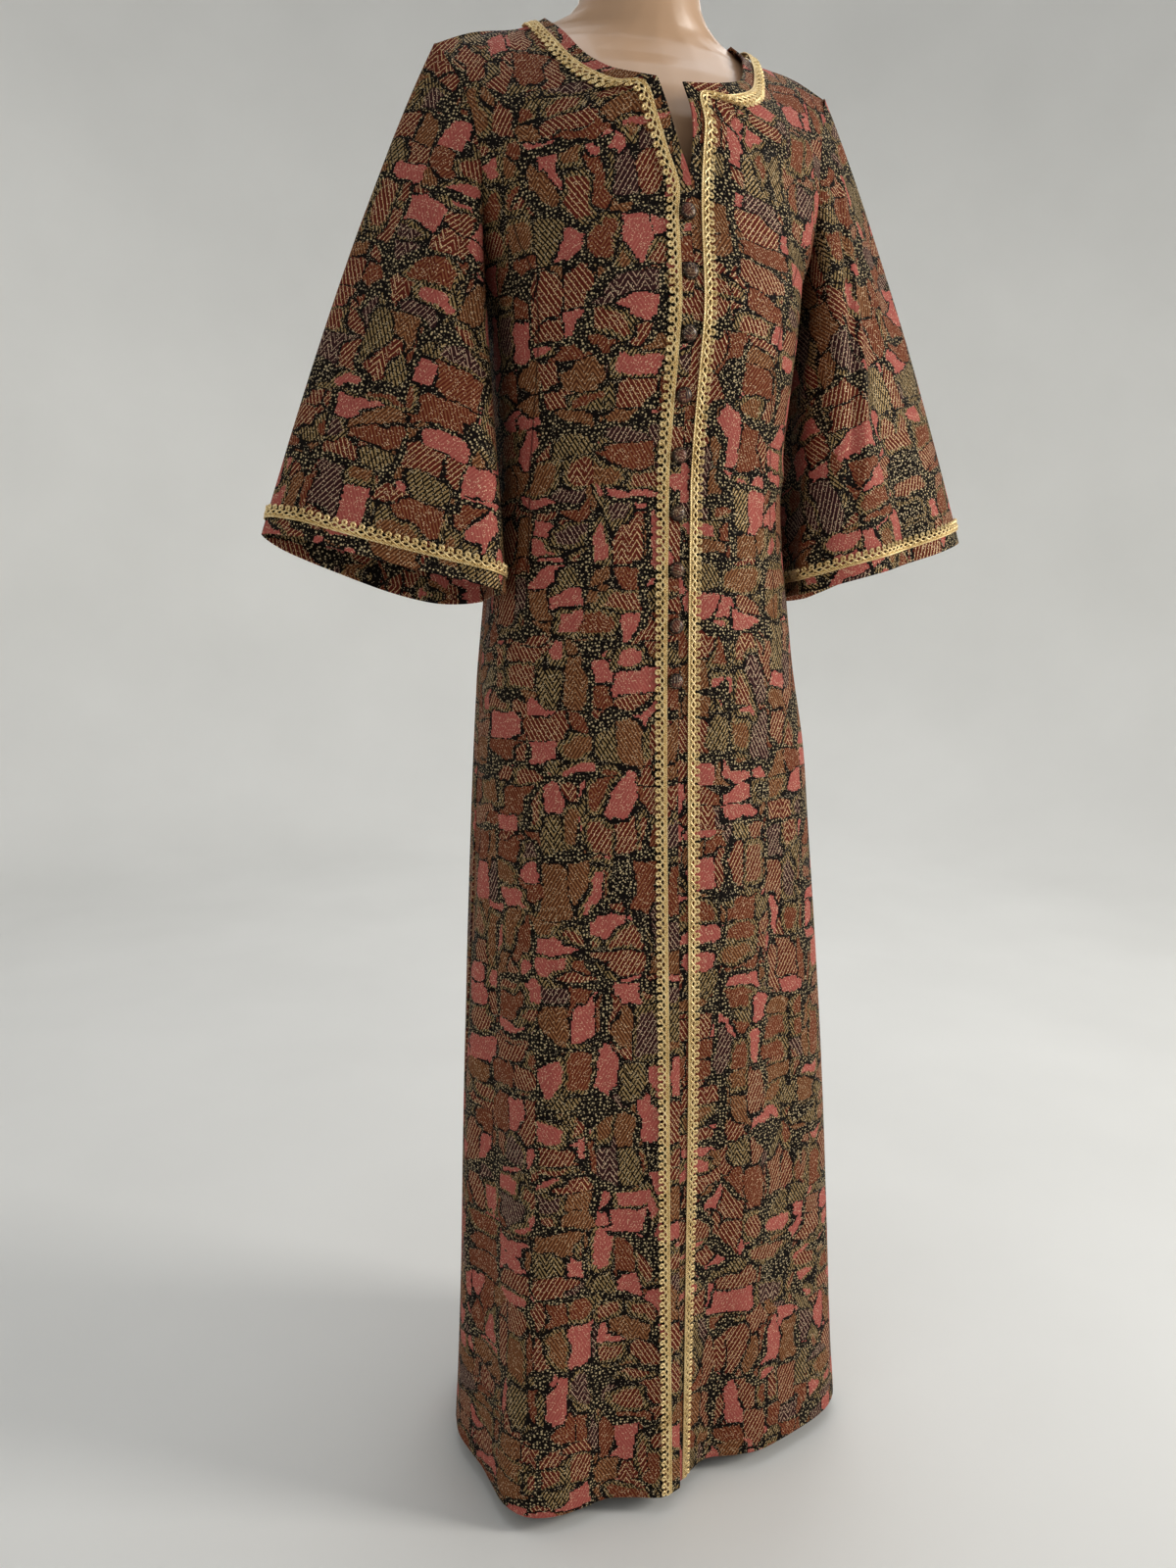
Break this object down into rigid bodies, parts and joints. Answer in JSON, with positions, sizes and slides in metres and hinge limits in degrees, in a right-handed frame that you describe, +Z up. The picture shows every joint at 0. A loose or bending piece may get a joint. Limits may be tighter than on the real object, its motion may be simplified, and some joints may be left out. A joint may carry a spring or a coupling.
{
  "type": "kaftan on a limbless dress form with a stand",
  "caption": "Full-length patterned knit kaftan with bell sleeves, gold braid and a buttoned front, worn by a limbless dress form.",
  "frame": {"origin": "middle of the base plate's underside, on the floor", "axes": "+Z up, the garment's front faces -Y, +X is the wearer's left"},
  "size_m": [0.7297, 0.3237, 1.493],
  "materials": {
    "fabric": "jacquard double knit with a metallic thread",
    "braid": "metallic gold braid",
    "button": "covered with the dress cloth",
    "form": "smooth skin-toned shell",
    "stand": "satin black"
  },
  "bodies": {
    "root": {"front_right": "fabric", "front_left": "fabric", "back": "fabric", "sleeve_right": "fabric", "sleeve_left": "fabric", "opening_braid": "braid", "cuff_braid_right": "braid", "cuff_braid_left": "braid", "button_1": "button", "button_2": "button", "button_3": "button", "button_4": "button", "button_5": "button", "button_6": "button", "button_7": "button", "button_8": "button", "button_9": "button", "form": "form", "pole": "stand", "base": "stand"}
  },
  "joints": []
}
